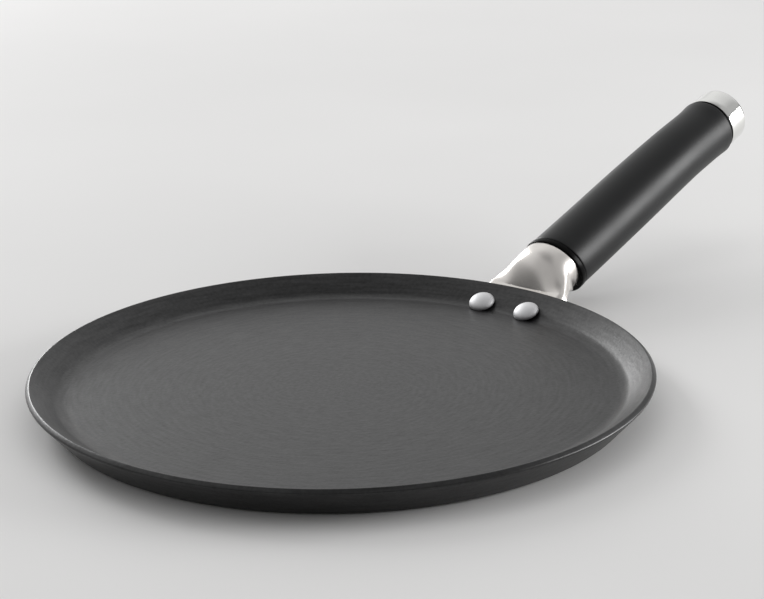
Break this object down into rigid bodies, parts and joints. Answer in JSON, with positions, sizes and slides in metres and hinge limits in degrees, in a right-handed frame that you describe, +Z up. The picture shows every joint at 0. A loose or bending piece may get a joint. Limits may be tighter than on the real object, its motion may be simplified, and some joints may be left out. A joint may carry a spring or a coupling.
{
  "type": "dosa tawa",
  "caption": "Flat round dosa tawa with a thick coated body, a shallow sloping rim and a round soft grip on a pressed steel neck riveted under the rim, for cooking thin batter on a hob.",
  "frame": {"origin": "centre of the flat underside of the pan's base, on the surface it rests on", "axes": "+X from the pan's centre towards the end of the handle, +Z up out of the cooking surface, +Y to the left of someone who looks along the handle away from the pan"},
  "size_m": [0.4386, 0.2598, 0.0703],
  "materials": {
    "coated_aluminium": "dark grey satin non-stick coating over cast aluminium",
    "rivet_aluminium": "satin polished",
    "polished_steel": "polished stainless sheet",
    "bright_steel": "mirror polished stainless sheet",
    "plated_steel": "zinc plated",
    "soft_black": "soft-touch",
    "gloss_black": "glossy",
    "moulded_black": "as moulded"
  },
  "bodies": {
    "root": {"pan_body": "coated_aluminium", "left_rivet": "rivet_aluminium", "right_rivet": "rivet_aluminium", "handle_neck": "polished_steel", "neck_boss": "plated_steel", "front_collar": "gloss_black", "grip_sleeve": "soft_black", "grip_core": "moulded_black", "tie_screw": "plated_steel", "spring_washer": "plated_steel", "plain_washer": "plated_steel", "rear_gasket": "gloss_black", "cap_plug": "moulded_black", "end_cap": "bright_steel"}
  },
  "joints": []
}
